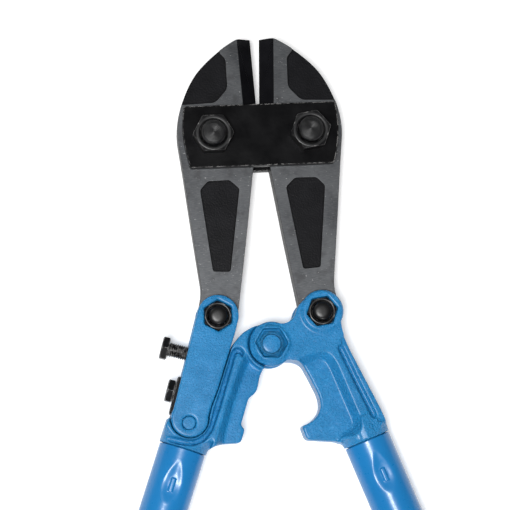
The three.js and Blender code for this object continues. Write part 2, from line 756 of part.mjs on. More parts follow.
let leftCasting = slab(leftOutline, -leverHalf, leverHalf);
const crescentRadius = EAR_RADIUS + EAR_CLEARANCE + 2.8;
leftCasting = leftCasting.subtract(mirror(shoulderCut(), -1, 1, 1)).add(mirror(collar(), -1, 1, 1));
const leftPanel = pocket(leftPocket, WEB_HALF, leverHalf, SLOPE);
leftCasting = cutBothFaces(leftCasting, leftPanel.subtract(bar(0, 0, crescentRadius, 0, leverHalf + 20)));
leftCasting = cutBothFaces(leftCasting, pocket(channel, leverHalf - 5.6, leverHalf, 0.8));
leftCasting = cutBothFaces(leftCasting, linkShape(LINK_GAP, bladeHalf, leverHalf + 2));
const earSpace = turned([
  [0, bladeHalf],
  [EAR_RADIUS + EAR_CLEARANCE, bladeHalf],
  [EAR_RADIUS + EAR_CLEARANCE, leverHalf - 3],
  [EAR_RADIUS + EAR_CLEARANCE + 1.4, leverHalf + 0.2],
  [EAR_RADIUS + EAR_CLEARANCE + 1.4, leverHalf + 3],
  [0, leverHalf + 3],
]);
leftCasting = cutBothFaces(leftCasting, earSpace);
const besideTongue = slab([[0, 20], [0, -20], [40, -20], [40, 20]], -leverHalf - 1, leverHalf + 1);
leftCasting = leftCasting.subtract(besideTongue);
leftCasting = leftCasting.add(bar(0, 0, TONGUE_RADIUS, -bladeHalf, bladeHalf));
leftCasting = leftCasting.subtract(bar(0, 0, tailFit, -bladeHalf - 1, bladeHalf + 1));
leftCasting = leftCasting.subtract(bar(linkPin.x, linkPin.y, PIN_RADIUS + GAP, -leverHalf, leverHalf));
const lockScrewDepth = 22;
leftCasting = leftCasting.subtract(onScrewAxis(lowerScrewDown, [
  [0, -5],
  [SCREW_RADIUS + GAP, -5],
  [SCREW_RADIUS + GAP, lockScrewDepth + 1],
  [0, lockScrewDepth + 1],
]));
add('left_casting', leftCasting, blueCoat);

// ---------------------------------------------------------------- adjusting hardware
const upperHeadOut = 18;
const screwTip = 26.2;
const upperScrew = onScrewAxis(upperScrewDown, [
  [0, -upperHeadOut + 1],
  [SCREW_RADIUS, -upperHeadOut + 1],
  [SCREW_RADIUS, screwTip - 1.5],
  [SCREW_RADIUS - 1.5, screwTip],
  [0, screwTip],
]);
const upperHead = hexOnScrewAxis(upperScrewDown, -upperHeadOut, -upperHeadOut + SCREW_HEAD_HEIGHT);
add('adjusting_screw', upperScrew.add(upperHead), blackSteel);

const plateFace = lockPlateInner - LOCK_PLATE_THICKNESS;
const lowerHeadIn = plateFace - GAP;
const lowerScrew = onScrewAxis(lowerScrewDown, [
  [0, lowerHeadIn - 1],
  [SCREW_RADIUS, lowerHeadIn - 1],
  [SCREW_RADIUS, lockScrewDepth - 1],
  [SCREW_RADIUS - 1, lockScrewDepth],
  [0, lockScrewDepth],
]);
const lowerHead = hexOnScrewAxis(lowerScrewDown, lowerHeadIn - SCREW_HEAD_HEIGHT, lowerHeadIn);
add('lock_screw', lowerScrew.add(lowerHead), blackSteel);

const lockPlateHalf = bladeHalf - 0.5;
const lockPlate = slab([
  besideLink(lockPlateTop, plateFace, 1),
  besideLink(lockPlateTop, lockPlateInner),
  besideLink(lockPlateBottom, lockPlateInner),
  besideLink(lockPlateBottom, plateFace, 1),
], -lockPlateHalf, lockPlateHalf).subtract(onScrewAxis(lowerScrewDown, [
  [0, -9],
  [SCREW_RADIUS + GAP, -9],
  [SCREW_RADIUS + GAP, 9],
  [0, 9],
]));
add('lock_plate', lockPlate, blackSteel);

// ---------------------------------------------------------------- lever bolts
const recessFloor = leverHalf - HEX_RECESS_DEPTH;
const nutLow = recessFloor + GAP;
for (const [name, spot, turn] of [
  ['right_tail', tailBolt, rightNutTurn],
  ['left_tail', leftTailBolt, leftNutTurn],
]) {
  const nutHigh = nutLow + LEVER_NUT_HEIGHT;
  const end = nutHigh + 0.4;
  const bolt = boltSolid(spot, LEVER_BOLT_RADIUS, LEVER_NUT_FLATS, -nutHigh, -nutLow, end, 2.2, turn);
  add(`${name}_bolt`, bolt, blackSteel);
  add(`${name}_nut`, nutSolid(spot, LEVER_NUT_FLATS, tailFit, nutLow, nutHigh, turn), blackSteel);
}

// The centre nut has a raised ring round its bore, and its bolt ends below the ring.
const centreNutHigh = nutLow + CENTRE_NUT_HEIGHT;
const centreRingHigh = centreNutHigh + CENTRE_RING_RISE;
const centreRing = bar(0, 0, CENTRE_RING_RADIUS, centreNutHigh - 1, centreRingHigh, 36)
  .subtract(bar(0, 0, tailFit, centreNutHigh - 2, centreRingHigh + 1));
const centreNut = nutSolid(centre, CENTRE_NUT_FLATS, tailFit, nutLow, centreNutHigh, centreNutTurn);
const centreEnd = centreRingHigh - CENTRE_END_SUNK;
const centreBolt = boltSolid(centre, LEVER_BOLT_RADIUS, CENTRE_NUT_FLATS, -centreNutHigh, -nutLow,
  centreEnd, 0.6, centreNutTurn);
add('centre_bolt', centreBolt, blueCoat);
add('centre_nut', centreNut.add(centreRing), blueCoat);

// ---------------------------------------------------------------- tubes and grips
// With the jaws shut each lever has turned in by half the handles' travel, so the reach below the
// joint that makes up the overall length is worked out in that position.
const halfTravel = radians(HANDLE_TRAVEL / 2);
const jointShut = joint.clone().rotateAround(centre, -halfTravel);
const jawTop = bladeBolt.y + JAW_REACH;
const handleReach = (OVERALL_LENGTH - jawTop + jointShut.y) / Math.cos(splay - halfTravel);
const tubeEnd = handleReach - GRIP_END_WALL - GAP;
const gripTop = handleReach - GRIP_LENGTH;
const boreRadius = TUBE_RADIUS - TUBE_WALL;

const tube = onTubeAxis([
  [0, -tubeEnd],
  [TUBE_RADIUS, -tubeEnd],
  [TUBE_RADIUS, -JOINT_GAP],
  [0, -JOINT_GAP],
], 28).subtract(onTubeAxis([
  [0, -tubeEnd - 1],
  [boreRadius, -tubeEnd - 1],
  [boreRadius, 1],
  [0, 1],
], 28));

const gripBore = TUBE_RADIUS + GAP;
const grip = onTubeAxis([
  [0, -handleReach],
  [GRIP_RADIUS - 5, -handleReach],
  [GRIP_RADIUS - 1, -handleReach + 2],
  [GRIP_RADIUS + 0.5, -handleReach + 8],
  [GRIP_RADIUS - 1, -handleReach + 22],
  [GRIP_RADIUS - 1, -gripTop - 14],
  [GRIP_RADIUS + 1, -gripTop - 6],
  [GRIP_RADIUS + 1, -gripTop - 2],
  [GRIP_RADIUS - 1, -gripTop],
  [0, -gripTop],
], 28).subtract(onTubeAxis([
  [0, -tubeEnd - GAP],
  [gripBore, -tubeEnd - GAP],
  [gripBore, -gripTop + 1],
  [0, -gripTop + 1],
], 28));

add('right_tube', tube, blueTube);
add('right_grip', grip, blackRubber);
add('left_tube', mirror(tube, -1, 1, 1), blueTube);
add('left_grip', mirror(grip, -1, 1, 1), blackRubber);

// ---------------------------------------------------------------- origin under the middle of the box
const box = new THREE.Box3().setFromObject(group);
const middle = box.getCenter(new THREE.Vector3());
group.position.set(-middle.x, -middle.y, -box.min.z);

export default group;
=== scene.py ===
# Bolt cutters with adjustable centre-cut jaws, forged levers and tube handles.
# The tool lies flat on its rear bolt heads with the jaws towards +Y. Metres throughout.
import math

import bmesh
import bpy
from mathutils import Matrix, Vector


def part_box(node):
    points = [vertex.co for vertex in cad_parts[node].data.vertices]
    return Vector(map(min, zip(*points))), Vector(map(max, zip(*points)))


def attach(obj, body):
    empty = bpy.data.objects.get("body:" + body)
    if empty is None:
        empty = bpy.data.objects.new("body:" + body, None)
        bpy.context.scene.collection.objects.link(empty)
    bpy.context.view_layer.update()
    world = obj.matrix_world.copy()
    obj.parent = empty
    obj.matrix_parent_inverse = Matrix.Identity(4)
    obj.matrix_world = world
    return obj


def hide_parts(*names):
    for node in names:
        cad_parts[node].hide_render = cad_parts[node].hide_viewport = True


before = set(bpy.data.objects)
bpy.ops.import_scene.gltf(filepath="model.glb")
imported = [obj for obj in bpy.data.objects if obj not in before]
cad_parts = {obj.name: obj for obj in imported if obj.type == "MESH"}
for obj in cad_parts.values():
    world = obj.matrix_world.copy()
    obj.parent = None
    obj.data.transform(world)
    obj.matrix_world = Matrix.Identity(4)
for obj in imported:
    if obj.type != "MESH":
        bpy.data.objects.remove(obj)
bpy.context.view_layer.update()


# ------------------------------------------------------------------ camera, floor and light
# The camera looks down on the head of the tool from about a metre and a half, a little from
# the left, and the tool lies a few degrees off square in its view.
def middle_of(node):
    """The middle of a CAD node's box."""
    low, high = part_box(node)
    return (low + high) / 2


hub = middle_of("centre_bolt")
hub.z = middle_of("left_blade").z
camera_place = hub + Vector((-0.1305, -0.1137, 1.468))
camera_target = hub + Vector((-0.0071, 0.0630, 0.0))
tool_roll = math.radians(2.9)
image_up = Vector((math.sin(tool_roll), math.cos(tool_roll), 0.0))

forward = (camera_target - camera_place).normalized()
rightward = forward.cross(image_up).normalized()
upward = rightward.cross(forward)
camera_data = bpy.data.cameras.new("camera")
camera_data.sensor_width = 36.0
camera_data.lens = 151.57
camera = bpy.data.objects.new("camera", camera_data)
turned_to_view = Matrix((rightward, upward, -forward)).transposed().to_4x4()
camera.matrix_world = Matrix.Translation(camera_place) @ turned_to_view
bpy.context.scene.collection.objects.link(camera)
bpy.context.scene.camera = camera
bpy.context.scene.view_settings.view_transform = "Standard"

FLOOR_SIZE = 14.0
floor_mesh = bmesh.new()
bmesh.ops.create_grid(floor_mesh, x_segments=1, y_segments=1, size=FLOOR_SIZE / 2)
floor_data = bpy.data.meshes.new("floor")
floor_mesh.to_mesh(floor_data)
floor_mesh.free()
floor = bpy.data.objects.new("floor", floor_data)
bpy.context.scene.collection.objects.link(floor)

floor_paint = bpy.data.materials.new("pale_floor")
floor_paint.use_nodes = True
floor_shader = floor_paint.node_tree.nodes["Principled BSDF"]
floor_shader.inputs["Base Color"].default_value = (0.85, 0.85, 0.85, 1.0)
floor_shader.inputs["Emission Color"].default_value = (1.0, 1.0, 1.0, 1.0)
floor_shader.inputs["Emission Strength"].default_value = 0.3
floor_shader.inputs["Roughness"].default_value = 0.9
floor_shader.inputs["Specular IOR Level"].default_value = 0.1
floor_data.materials.append(floor_paint)

world = bpy.data.worlds.new("studio")
world.use_nodes = True
world.node_tree.nodes["Background"].inputs["Color"].default_value = (0.96, 0.98, 1.0, 1.0)
world.node_tree.nodes["Background"].inputs["Strength"].default_value = 0.16
bpy.context.scene.world = world


def softbox(name, place, aim, size, power):
    """A square lamp of a size in metres and a power in watts, turned to face aim."""
    light = bpy.data.lights.new(name, "AREA")
    light.size = size
    light.energy = power
    lamp = bpy.data.objects.new(name, light)
    turn = (aim - place).to_track_quat("-Z", "Y").to_matrix().to_4x4()
    lamp.matrix_world = Matrix.Translation(place) @ turn
    bpy.context.scene.collection.objects.link(lamp)


softbox("key_light", hub + Vector((-0.36, -0.30, 2.3)), hub, 0.5, 56.0)
softbox("near_light", hub + Vector((0.15, -1.75, 1.15)), hub, 0.6, 9.0)
softbox("far_light", hub + Vector((-1.3, 1.5, 0.9)), hub, 0.7, 5.0)


# ------------------------------------------------------------------ side plates
# Two thick flat plates of black oxidised steel, cut and drilled, which hold the blades between
# them. Oil leaves them with a low sheen, and handling has rubbed their edges back to bare steel.
MERGE = 2e-6
FLAT_ANGLE = math.radians(0.6)
BEVEL_ANGLE = math.radians(28)


def piece_from(bm, name):
    """A new object at the origin that holds a finished bmesh."""
    mesh = bpy.data.meshes.new(name)
    bm.to_mesh(mesh)
    bm.free()
    for layer in [a.name for a in mesh.attributes if a.name == "custom_normal"]:
        mesh.attributes.remove(mesh.attributes[layer])
    mesh.shade_smooth()
    piece = bpy.data.objects.new(name, mesh)
    bpy.context.scene.collection.objects.link(piece)
    return piece


def cad_copy(node):
    """A merged copy of a CAD node, with its flat faces whole again."""
    bm = bmesh.new()
    bm.from_mesh(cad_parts[node].data)
    bmesh.ops.remove_doubles(bm, verts=bm.verts, dist=MERGE)
    bmesh.ops.dissolve_limit(bm, angle_limit=FLAT_ANGLE, verts=bm.verts, edges=bm.edges)
    return bm


def rounded(piece, width):
    """Rounds the piece's sharp edges and lets its flat faces shade flat."""
    bevel = piece.modifiers.new("rounded_edges", "BEVEL")
    bevel.width = width
    bevel.segments = 2
    bevel.limit_method = "ANGLE"
    bevel.angle_limit = BEVEL_ANGLE
    bevel.use_clamp_overlap = False
    piece.modifiers.new("flat_faces", "WEIGHTED_NORMAL").keep_sharp = True


def install(piece, body, slot, finish, *nodes):
    """Gives the piece its finish and puts it on its body in place of its CAD node."""
    if finish is not None:
        piece.data.materials.append(finish)
    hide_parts(*nodes)
    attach(piece, body)


def new_finish(name, metallic, roughness, specular=0.5, coat=0.0, coat_roughness=0.2):
    """A material with its tree, its shader and the piece's own coordinates."""
    finish = bpy.data.materials.new(name)
    finish.use_nodes = True
    tree = finish.node_tree
    shader = tree.nodes["Principled BSDF"]
    shader.inputs["Metallic"].default_value = metallic
    shader.inputs["Roughness"].default_value = roughness
    shader.inputs["Specular IOR Level"].default_value = specular
    shader.inputs["Coat Weight"].default_value = coat
    shader.inputs["Coat Roughness"].default_value = coat_roughness
    where = tree.nodes.new("ShaderNodeTexCoord").outputs["Object"]
    return finish, tree, shader, where


def noise(tree, where, scale, detail, stretch=(1.0, 1.0, 1.0), turn=0.0):
    """Cloudy noise on the piece's coordinates, drawn out and turned for grain or scratches."""
    mapping = tree.nodes.new("ShaderNodeMapping")
    mapping.inputs["Rotation"].default_value = (0.0, 0.0, math.radians(turn))
    mapping.inputs["Scale"].default_value = stretch
    texture = tree.nodes.new("ShaderNodeTexNoise")
    texture.inputs["Scale"].default_value = scale
    texture.inputs["Detail"].default_value = detail
    tree.links.new(where, mapping.inputs["Vector"])
    tree.links.new(mapping.outputs["Vector"], texture.inputs["Vector"])
    return texture.outputs["Fac"]


def between(tree, factor, low, high, start=0.0, end=1.0):
    """The factor's share between low and high, as a number from start to end."""
    share = tree.nodes.new("ShaderNodeMapRange")
    share.inputs["From Min"].default_value = low
    share.inputs["From Max"].default_value = high
    share.inputs["To Min"].default_value = start
    share.inputs["To Max"].default_value = end
    tree.links.new(factor, share.inputs["Value"])
    return share.outputs["Result"]


def combine(tree, how, first, second):
    """Two numbers joined by a plain sum, product or the like."""
    maths = tree.nodes.new("ShaderNodeMath")
    maths.operation = how
    maths.use_clamp = True
    tree.links.new(first, maths.inputs[0])
    tree.links.new(second, maths.inputs[1])
    return maths.outputs["Value"]


def blend_colours(tree, factor, first, second):
    """A colour from first to second; either may be a colour or another node's output."""
    mix = tree.nodes.new("ShaderNodeMix")
    mix.data_type = "RGBA"
    tree.links.new(factor, mix.inputs["Factor"])
    for socket, colour in ((mix.inputs[6], first), (mix.inputs[7], second)):
        if isinstance(colour, tuple):
            socket.default_value = (*colour, 1.0)
        else:
            tree.links.new(colour, socket)
    return mix.outputs[2]


def edges(tree, reach, low, high):
    """A mask that is 1 on the piece's outer edges and corners and 0 on its flats."""
    soft = tree.nodes.new("ShaderNodeBevel")
    soft.samples = 4
    soft.inputs["Radius"].default_value = reach
    true = tree.nodes.new("ShaderNodeNewGeometry")
    product = tree.nodes.new("ShaderNodeVectorMath")
    product.operation = "DOT_PRODUCT"
    tree.links.new(soft.outputs["Normal"], product.inputs[0])
    tree.links.new(true.outputs["Normal"], product.inputs[1])
    return between(tree, product.outputs["Value"], 1.0 - low, 1.0 - high)


def relief(tree, shader, height, depth, strength):
    """A fine relief on the surface, depth metres from its low to its high points."""
    bump = tree.nodes.new("ShaderNodeBump")
    bump.inputs["Distance"].default_value = depth
    bump.inputs["Strength"].default_value = strength
    tree.links.new(height, bump.inputs["Height"])
    tree.links.new(bump.outputs["Normal"], shader.inputs["Normal"])


def turning_marks(tree, where, axis_spot, pitch):
    """Fine rings round an upright axis, as a lathe tool leaves them."""
    shift = tree.nodes.new("ShaderNodeVectorMath")
    shift.operation = "SUBTRACT"
    shift.inputs[1].default_value = axis_spot
    flatten = tree.nodes.new("ShaderNodeVectorMath")
    flatten.operation = "MULTIPLY"
    flatten.inputs[1].default_value = (1.0, 1.0, 0.0)
    rings = tree.nodes.new("ShaderNodeTexWave")
    rings.wave_type = "RINGS"
    rings.rings_direction = "SPHERICAL"
    rings.inputs["Scale"].default_value = math.tau / (20.0 * pitch)
    rings.inputs["Distortion"].default_value = 0.6
    tree.links.new(where, shift.inputs[0])
    tree.links.new(shift.outputs["Vector"], flatten.inputs[0])
    tree.links.new(flatten.outputs["Vector"], rings.inputs["Vector"])
    return rings.outputs["Fac"]


def black_oxide(name, wear, specular=0.05, axis_spot=None):
    """Black oxidised, oiled steel with bare rubbed edges, and turning marks round its axis."""
    finish, tree, shader, where = new_finish(name, 0.0, 0.36, specular)
    clouds = noise(tree, where, 70.0, 5.0)
    smudges = noise(tree, where, 420.0, 4.0)
    rubbed = combine(tree, "MULTIPLY", edges(tree, 0.0009, 0.01, 0.14),
                     between(tree, smudges, 0.42, 0.62, 0.0, wear))
    black = blend_colours(tree, between(tree, clouds, 0.35, 0.7),
                          (0.002, 0.002, 0.0024), (0.0055, 0.0055, 0.006))
    colour = blend_colours(tree, rubbed, black, (0.42, 0.41, 0.4))
    tree.links.new(colour, shader.inputs["Base Color"])
    tree.links.new(between(tree, clouds, 0.3, 0.7, 0.3, 0.42), shader.inputs["Roughness"])
    skin = combine(tree, "MULTIPLY", clouds, smudges)
    if axis_spot is not None:
        rings = turning_marks(tree, where, axis_spot, 0.0009)
        skin = combine(tree, "ADD", skin, between(tree, rings, 0.0, 1.0, 0.0, 0.8))
    relief(tree, shader, skin, 0.00016, 0.8)
    return finish


plate_black = black_oxide("plate_black_oxide", 1.6)
for node in ("front_plate", "rear_plate"):
    plate = piece_from(cad_copy(node), f"{node}_steel")
    rounded(plate, 0.0005)
    install(plate, "head", "black_steel", plate_black, node)


# ------------------------------------------------------------------ blades
# Two drop-forged chrome steel jaws. Their faces are ground flat and grey; the forged sides, the
# two sunk panels on each face and the ground-back cutting edges stay black from the hardening.
def ground_steel():
    """Surface-ground tool steel: fine crossing scratches, dull clouds and a few bright nicks."""
    finish, tree, shader, where = new_finish("ground_steel", 0.85, 0.42)
    clouds = noise(tree, where, 38.0, 6.0)
    grind = noise(tree, where, 260.0, 3.0, (1.0, 14.0, 1.0), 28.0)
    cross = noise(tree, where, 320.0, 3.0, (1.0, 18.0, 1.0), -52.0)
    nicks = noise(tree, where, 600.0, 2.0, (1.0, 2.2, 1.0), 35.0)
    blotches = noise(tree, where, 130.0, 5.0)
    tone = blend_colours(tree, between(tree, clouds, 0.3, 0.72),
                         (0.034, 0.036, 0.039), (0.072, 0.075, 0.079))
    tone = blend_colours(tree, between(tree, grind, 0.45, 0.75, 0.0, 0.6),
                         tone, (0.12, 0.122, 0.125))
    tone = blend_colours(tree, between(tree, blotches, 0.55, 0.68, 0.0, 0.6),
                         tone, (0.035, 0.035, 0.037))
    bright = combine(tree, "MAXIMUM", between(tree, nicks, 0.7, 0.76, 0.0, 0.9),
                     edges(tree, 0.0006, 0.03, 0.3))
    tree.links.new(blend_colours(tree, bright, tone, (0.3, 0.3, 0.3)), shader.inputs["Base Color"])
    tree.links.new(between(tree, clouds, 0.3, 0.7, 0.36, 0.5), shader.inputs["Roughness"])
    relief(tree, shader, combine(tree, "ADD", grind, cross), 0.00007, 0.8)
    return finish


def forged_black():
    """The scaled, blackened skin of the sunk panels and the forged sides, with painted shade on its
    edges and in the panels' corners.
    """
    finish, tree, shader, where = new_finish("forged_black", 0.0, 0.4, specular=0.07)
    scale_skin = noise(tree, where, 900.0, 3.0)
    clouds = noise(tree, where, 90.0, 4.0)
    black = blend_colours(tree, between(tree, clouds, 0.3, 0.7),
                          (0.0035, 0.0035, 0.0045), (0.007, 0.007, 0.0085))
    # Painted shade: near black along the edges and in the sunk panels' walls and corners.
    rim = edges(tree, 0.0017, 0.003, 0.12)
    colour = blend_colours(tree, rim, black, (0.0006, 0.0006, 0.0007))
    tree.links.new(colour, shader.inputs["Base Color"])
    relief(tree, shader, scale_skin, 0.0003, 0.8)
    return finish


GROUND_FACE_SLACK = 0.0001
steel_grey = ground_steel()
steel_black = forged_black()
for side, body in (("left", "left_jaw"), ("right", "right_jaw")):
    node = f"{side}_blade"
    low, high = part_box(node)
    bm = cad_copy(node)
    for face in bm.faces:
        height = face.calc_center_median().z
        on_face = height > high.z - GROUND_FACE_SLACK or height < low.z + GROUND_FACE_SLACK
        face.material_index = 0 if on_face else 1
    blade = piece_from(bm, f"{node}_steel")
    blade.data.materials.append(steel_grey)
    blade.data.materials.append(steel_black)
    rounded(blade, 0.00035)
    install(blade, body, "blade_steel", None, node)


# ------------------------------------------------------------------ blade bolts and nuts
# The two heavy bolts that the blades turn on, with their heads behind and their nuts in front.
# Each is turned from hexagonal bar and blackened; the nuts' corners are turned off at the top.
TURN_STEPS = 96
HEX_TOP_SLOPE = math.tan(math.radians(30))
HEX_TURNED_OFF = 0.965
HEX_CORNER_LIMIT = 1.14
HEX_HEAD_EDGE = 0.97
DOME_FULLNESS = 0.55
DOME_STEPS = 10
NUT_PLAY = 0.0003


def spun(profile, steps=TURN_STEPS):
    """Points (radius, height) turned round Z. A profile that starts off the axis makes a ring."""
    bm = bmesh.new()
    points = [bm.verts.new((radius, 0.0, height)) for radius, height in profile]
    ring = profile[0][0] > 0.0
    ends = points[1:] + points[:1] if ring else points[1:]
    line = [bm.edges.new(pair) for pair in zip(points, ends)]
    bmesh.ops.spin(bm, geom=points + line, cent=(0, 0, 0), axis=(0, 0, 1), dvec=(0, 0, 0),
                   angle=math.tau, steps=steps, use_merge=True, use_normal_flip=False)
    bmesh.ops.remove_doubles(bm, verts=bm.verts, dist=MERGE)
    bmesh.ops.recalc_face_normals(bm, faces=bm.faces)
    return bm


def make_hexagonal(bm, flats, turn, crown):
    """Pushes what is as wide as the flats out to a hexagon, chamfered where it reaches a crown."""
    half = flats / 2
    turned_off = half * HEX_TURNED_OFF
    for vert in bm.verts:
        radius = math.hypot(vert.co.x, vert.co.y)
        if radius < half - MERGE:
            continue
        angle = math.atan2(vert.co.y, vert.co.x)
        from_flat = (angle - math.radians(turn)) % math.radians(60) - math.radians(30)
        across = min(half / math.cos(from_flat), half * HEX_CORNER_LIMIT)
        vert.co.x *= across / radius
        vert.co.y *= across / radius
        if crown > 0 and vert.co.z > crown - MERGE:
            vert.co.z -= (across - turned_off) * HEX_TOP_SLOPE


def place_in_mesh(bm, spot):
    """Moves the shape to its spot inside its own mesh."""
    bmesh.ops.translate(bm, vec=spot, verts=bm.verts)
    return bm


def hexagonal_nut(name, node, flats, turn, bore, ring=None):
    """A nut that fills its CAD nut's height, with a countersunk bore or a raised ring round it."""
    low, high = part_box(node)
    spot = Vector(((low.x + high.x) / 2, (low.y + high.y) / 2, low.z))
    tall = high.z - low.z
    sink = 0.0008
    around_bore = [(bore + sink * 1.6, tall), (bore, tall - sink)]
    if ring is not None:
        ring_radius, ring_rise = ring
        tall -= ring_rise
        ring_top = tall + ring_rise
        around_bore = [(ring_radius, tall), (ring_radius - 0.0002, ring_top - 0.0002),
                       (ring_radius - 0.0005, ring_top), (bore + 0.0003, ring_top),
                       (bore, ring_top - 0.0004)]
    bm = spun([
        (bore, sink), (bore + sink, 0.0), (flats / 2 * HEX_TURNED_OFF, 0.0), (flats / 2, 0.0003),
        (flats / 2, tall), (flats / 2 * HEX_TURNED_OFF, tall), *around_bore,
    ])
    make_hexagonal(bm, flats, turn, tall)
    nut = piece_from(place_in_mesh(bm, spot), name)
    rounded(nut, 0.0003)
    return nut


def domed_bolt(name, node, flats, turn, radius, head_tall, dome):
    """A bolt that fills its CAD bolt's length: hexagonal head at the back, crowned end in front."""
    low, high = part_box(node)
    spot = Vector(((low.x + high.x) / 2, (low.y + high.y) / 2, low.z))
    tall = high.z - low.z
    half = flats / 2
    crown = [(radius * math.cos(math.radians(a)) ** DOME_FULLNESS,
              tall - dome + dome * math.sin(math.radians(a)))
             for a in range(0, 90, 90 // DOME_STEPS)]
    bm = spun([
        (0.0, 0.0), (half * HEX_TURNED_OFF, 0.0), (half, 0.0001), (half, head_tall),
        (radius, head_tall), *crown, (0.0, tall),
    ])
    make_hexagonal(bm, flats, turn, 0.0)
    for vert in bm.verts:
        reach = math.hypot(vert.co.x, vert.co.y)
        if vert.co.z < head_tall / 2 and reach > half * HEX_HEAD_EDGE:
            vert.co.z += (reach - half * HEX_TURNED_OFF) * HEX_TOP_SLOPE
    bolt = piece_from(place_in_mesh(bm, spot), name)
    rounded(bolt, 0.00025)
    return bolt


BLADE_NUT_FLATS = 0.0246
BLADE_BOLT_RADIUS = 0.0086
BLADE_HEAD_TALL = 0.010
BLADE_BOLT_DOME = 0.0030
bolt_black = black_oxide("bolt_black_oxide", 0.8, 0.35)
for side, turn in (("left", 0.0), ("right", 9.0)):
    bolt = domed_bolt(f"{side}_blade_bolt_steel", f"{side}_blade_bolt", BLADE_NUT_FLATS, turn,
                      BLADE_BOLT_RADIUS, BLADE_HEAD_TALL, BLADE_BOLT_DOME)
    turned_black = black_oxide(f"{side}_bolt_turned_oxide", 0.8, 0.35,
                               middle_of(f"{side}_blade_bolt"))
    install(bolt, "head", "black_steel", turned_black, f"{side}_blade_bolt")
    nut = hexagonal_nut(f"{side}_blade_nut_steel", f"{side}_blade_nut", BLADE_NUT_FLATS, turn,
                        BLADE_BOLT_RADIUS + NUT_PLAY)
    install(nut, "head", "black_steel", bolt_black, f"{side}_blade_nut")


# ------------------------------------------------------------------ lever castings
# The two levers' heads, drop forged in steel, left with soft edges and filleted pockets, and
# covered with a thick blue powder coat that has the skin of an orange.
FORGING_GRAIN = 0.00065
FORGING_PASSES = 6


def blue_powder_coat():
    """Thick blue powder coat: dimpled all over, with painted shade in the dimples' hollows, and a
    little paler on its edges.
    """
    finish, tree, shader, where = new_finish("blue_powder_coat", 0.0, 0.42, specular=0.4,
                                             coat=0.22, coat_roughness=0.24)
    peel_skin = noise(tree, where, 760.0, 3.0)
    fine_skin = noise(tree, where, 1700.0, 2.0)
    waves = noise(tree, where, 110.0, 2.0)
    clouds = noise(tree, where, 28.0, 4.0)
    blue = blend_colours(tree, between(tree, clouds, 0.3, 0.7),
                         (0.007, 0.195, 0.455), (0.011, 0.24, 0.535))
    dimple_relief_and_shade = between(tree, peel_skin, 0.36, 0.64, 0.0, 0.75)
    # Painted shade: the coat is painted darker in the hollows of its orange-peel skin.
    blue = blend_colours(tree, between(tree, dimple_relief_and_shade, 0.0, 0.75, 0.3, 0.0), blue, (0.0, 0.1, 0.3))
    # The edges are painted a little paler, in patches.
    paler_edges = combine(tree, "MULTIPLY", edges(tree, 0.0016, 0.02, 0.35),
                   between(tree, fine_skin, 0.3, 0.6, 0.1, 0.6))
    tree.links.new(blend_colours(tree, paler_edges, blue, (0.05, 0.32, 0.62)), shader.inputs["Base Color"])
    tree.links.new(between(tree, peel_skin, 0.3, 0.7, 0.34, 0.5), shader.inputs["Roughness"])
    skin = combine(tree, "ADD", dimple_relief_and_shade, between(tree, fine_skin, 0.3, 0.7, 0.0, 0.25))
    skin = combine(tree, "MULTIPLY", skin, between(tree, waves, 0.3, 0.6, 0.6, 1.0))
    relief(tree, shader, skin, 0.0008, 1.0)
    return finish


def soften(piece, grain, passes):
    """Turns a cut shape into a forging: one even skin whose edges and inner corners are rounded."""
    skin = piece.modifiers.new("even_skin", "REMESH")
    skin.mode = "VOXEL"
    skin.voxel_size = grain
    skin.use_smooth_shade = True
    rub = piece.modifiers.new("soft_edges", "SMOOTH")
    rub.factor = 0.5
    rub.iterations = passes
    depsgraph = bpy.context.evaluated_depsgraph_get()
    forged = bpy.data.meshes.new_from_object(piece.evaluated_get(depsgraph))
    forged.name = piece.name
    piece.modifiers.clear()
    piece.data = forged
    forged.shade_smooth()


blue_skin = blue_powder_coat()
for side, body in (("left", "left_lever"), ("right", "right_lever")):
    node = f"{side}_casting"
    casting = piece_from(cad_copy(node), f"{side}_lever_forging")
    soften(casting, FORGING_GRAIN, FORGING_PASSES)
    install(casting, body, "blue_forging", blue_skin, node)


# ------------------------------------------------------------------ adjusting link
# A forged link with two cheeks, coated with the levers. Its top fork holds the left blade's tail
# and its foot is pinned over the left lever's tongue.
link = piece_from(cad_copy("adjusting_link"), "adjusting_link_forging")
soften(link, FORGING_GRAIN, FORGING_PASSES)
install(link, "link", "blue_forging", blue_skin, "adjusting_link")


# ------------------------------------------------------------------ link pin
# A plain steel pin, pressed through the link's foot and the lever's tongue and painted over.
PIN_RADIUS = 0.0045
pin_low, pin_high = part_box("link_pin")
pin_tall = pin_high.z - pin_low.z
pin_chamfer = 0.0006
pin_spot = Vector((*middle_of("link_pin").xy, pin_low.z))
bm = spun([
    (0.0, 0.0), (PIN_RADIUS - pin_chamfer, 0.0), (PIN_RADIUS, pin_chamfer),
    (PIN_RADIUS, pin_tall - pin_chamfer), (PIN_RADIUS - pin_chamfer, pin_tall), (0.0, pin_tall),
], 64)
pin = piece_from(place_in_mesh(bm, pin_spot), "link_pin_steel")
rounded(pin, 0.0002)
install(pin, "left_lever", "blue_forging", blue_skin, "link_pin")


